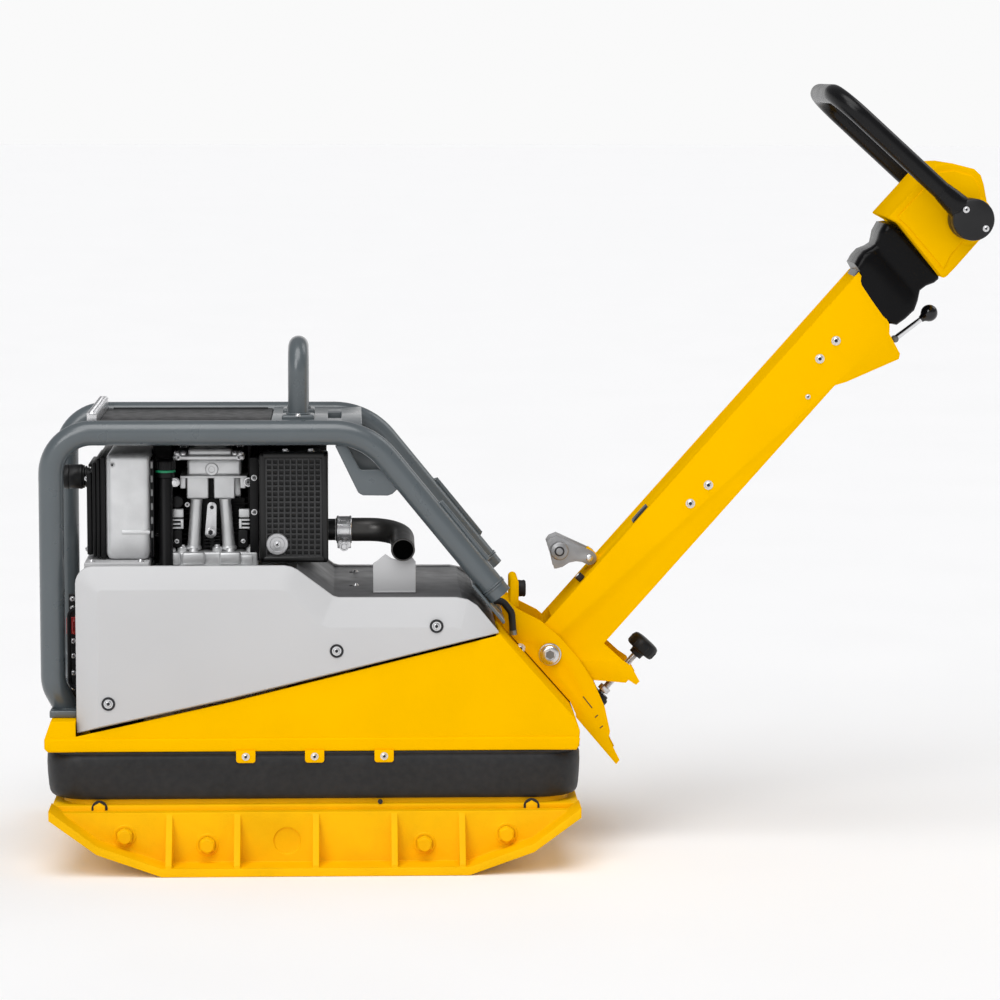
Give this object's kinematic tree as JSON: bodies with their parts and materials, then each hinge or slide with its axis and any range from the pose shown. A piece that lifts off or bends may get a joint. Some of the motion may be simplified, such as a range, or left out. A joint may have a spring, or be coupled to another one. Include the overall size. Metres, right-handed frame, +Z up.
{
  "type": "plate compactor",
  "caption": "Walk-behind reversible vibratory plate compactor with side extension plates, tube frame, engine, raised drawbar and handle bow.",
  "frame": {"origin": "centre of the base plate's flat sole, on the ground", "axes": "+X towards the drawbar, the rear of the machine; +Y to the machine's right side; +Z up"},
  "size_m": [1.6317, 0.605, 1.3329],
  "materials": {
    "yellow_cast": "painted casting, lightly orange-peeled",
    "yellow_paint": "powder-coated sheet steel",
    "yellow_plastic": "moulded, fine grain",
    "cast_iron": "as cast",
    "machined_steel": "zinc plated or turned",
    "buffer_rubber": "moulded rubber",
    "skirt_rubber": "matt sheet rubber",
    "light_grey_cover": "moulded, fine grain",
    "dark_grey_sheet": "satin powder coat",
    "frame_grey": "satin powder coat",
    "black_plastic": "moulded, fine grain",
    "cast_aluminium": "die cast, bead blasted",
    "black_heatproof": "matt heatproof paint",
    "exhaust_steel": "heat-tinted steel",
    "zinc_sheet": "bright zinc plating",
    "red_plastic": "moulded",
    "belt_rubber": "fabric-faced rubber",
    "boot_rubber": "moulded bellows",
    "bow_grip": "soft-coated steel tube",
    "hose_rubber": "ribbed outer cover"
  },
  "bodies": {
    "lower_mass": {"base_plate": "yellow_cast", "extension_plate_left": "yellow_cast", "extension_plate_right": "yellow_cast", "exciter_housing": "cast_iron", "exciter_cover_left": "cast_iron", "exciter_cover_right": "cast_iron"},
    "upper_mass": {"buffer_front_left": "buffer_rubber", "buffer_front_right": "buffer_rubber", "buffer_rear_left": "buffer_rubber", "buffer_rear_right": "buffer_rubber", "upper_frame": "yellow_paint", "rubber_skirt": "skirt_rubber", "side_cover_left": "light_grey_cover", "side_cover_right": "light_grey_cover", "rear_hood": "dark_grey_sheet", "frame_tube_left": "frame_grey", "frame_tube_right": "frame_grey", "frame_rear_plate": "frame_grey", "top_panel": "black_plastic", "lifting_bridge": "frame_grey", "engine_block": "cast_aluminium", "cylinder": "cast_aluminium", "cylinder_head": "cast_aluminium", "rocker_cover": "cast_aluminium", "pushrod_tube_front": "machined_steel", "pushrod_tube_rear": "machined_steel", "blower_housing": "cast_aluminium", "air_guide": "black_plastic", "air_intake": "black_plastic", "muffler": "black_heatproof", "muffler_guard": "black_heatproof", "exhaust_pipe": "exhaust_steel", "exhaust_clamp": "exhaust_steel", "exhaust_bracket": "zinc_sheet", "fuel_tank": "black_plastic", "battery": "black_plastic", "drive_belt": "belt_rubber", "drawbar_console": "yellow_paint", "pivot_bolt": "machined_steel", "parking_plate": "yellow_paint", "park_bumper": "buffer_rubber", "control_hose": "hose_rubber"},
    "exciter_front": {"exciter_shaft_front": "machined_steel", "exciter_gear_front": "machined_steel", "exciter_pulley": "machined_steel"},
    "exciter_rear": {"exciter_shaft_rear": "machined_steel", "exciter_gear_rear": "machined_steel"},
    "crank": {"crankshaft": "machined_steel", "clutch_pulley": "machined_steel"},
    "drawbar": {"drawbar_beam": "yellow_paint", "head_boot": "boot_rubber", "control_head": "yellow_plastic"},
    "bow": {"handle_bow": "bow_grip"},
    "throttle": {"throttle_lever": "machined_steel"},
    "latch": {"transport_latch": "zinc_sheet"},
    "foot": {"stop_foot": "buffer_rubber"},
    "screw": {"stop_screw": "machined_steel"},
    "isolator": {"isolator_knob": "red_plastic"},
    "engine_stop": {"stop_lever": "machined_steel"},
    "oil_cap": {"oil_filler_cap": "black_plastic"}
  },
  "joints": [
    {"name": "upper_float", "type": "slide", "parent": "lower_mass", "child": "upper_mass", "axis": [0, 0, 1], "range_m": [-0.006, 0.006], "stiffness_N_per_m": 600000, "springref_m": 0.0045, "deforming": ["buffer_front_left", "buffer_front_right", "buffer_rear_left", "buffer_rear_right", "drive_belt"]},
    {"name": "crank_spin", "type": "hinge", "parent": "upper_mass", "child": "crank", "pos_m": [-0.17, 0, 0.345], "axis": [0, 1, 0], "continuous": true},
    {"name": "exciter_front_spin", "type": "hinge", "parent": "lower_mass", "child": "exciter_front", "pos_m": [-0.062, 0, 0.1], "axis": [0, 1, 0], "continuous": true},
    {"name": "exciter_rear_spin", "type": "hinge", "parent": "lower_mass", "child": "exciter_rear", "pos_m": [0.062, 0, 0.1], "axis": [0, 1, 0], "continuous": true},
    {"name": "drawbar_lift", "type": "hinge", "parent": "upper_mass", "child": "drawbar", "pos_m": [0.408, 0, 0.3413], "axis": [0, -1, 0], "range_deg": [0, 40]},
    {"name": "bow_swing", "type": "hinge", "parent": "drawbar", "child": "bow", "pos_m": [1.1257, 0, 1.1038], "axis": [0, 1, 0], "range_deg": [-12, 12]},
    {"name": "throttle_turn", "type": "hinge", "parent": "drawbar", "child": "throttle", "pos_m": [1.01674, 0, 0.88825], "axis": [-0.749, 0, 0.6626], "range_deg": [0, 35]},
    {"name": "latch_lift", "type": "hinge", "parent": "drawbar", "child": "latch", "pos_m": [0.47945, 0, 0.50507], "axis": [0, 1, 0], "range_deg": [-9, 19]},
    {"name": "stop_foot_slide", "type": "slide", "parent": "drawbar", "child": "foot", "axis": [0.6626, 0, 0.749], "range_m": [0, 0.006]},
    {"name": "stop_screw_turn", "type": "hinge", "parent": "foot", "child": "screw", "pos_m": [0.534, 0, 0.29658], "axis": [0.6626, 0, 0.749], "range_deg": [0, 1080]},
    {"name": "isolator_turn", "type": "hinge", "parent": "upper_mass", "child": "isolator", "pos_m": [-0.4, -0.1, 0.4], "axis": [-1, 0, 0], "range_deg": [0, 90]},
    {"name": "engine_stop_swing", "type": "hinge", "parent": "upper_mass", "child": "engine_stop", "pos_m": [-0.182, -0.0727, 0.56], "axis": [0, 1, 0], "range_deg": [-20, 25]},
    {"name": "oil_cap_twist", "type": "hinge", "parent": "upper_mass", "child": "oil_cap", "pos_m": [-0.259, -0.0935, 0.66], "axis": [0, 0, 1], "range_deg": [0, 90]}
  ],
  "couplings": [
    {"joint": "exciter_front_spin", "follows": "crank_spin", "ratio": 1.5},
    {"joint": "exciter_rear_spin", "follows": "crank_spin", "ratio": -1.5},
    {"joint": "stop_screw_turn", "follows": "stop_foot_slide", "rad_per_m": 3141.5}
  ]
}
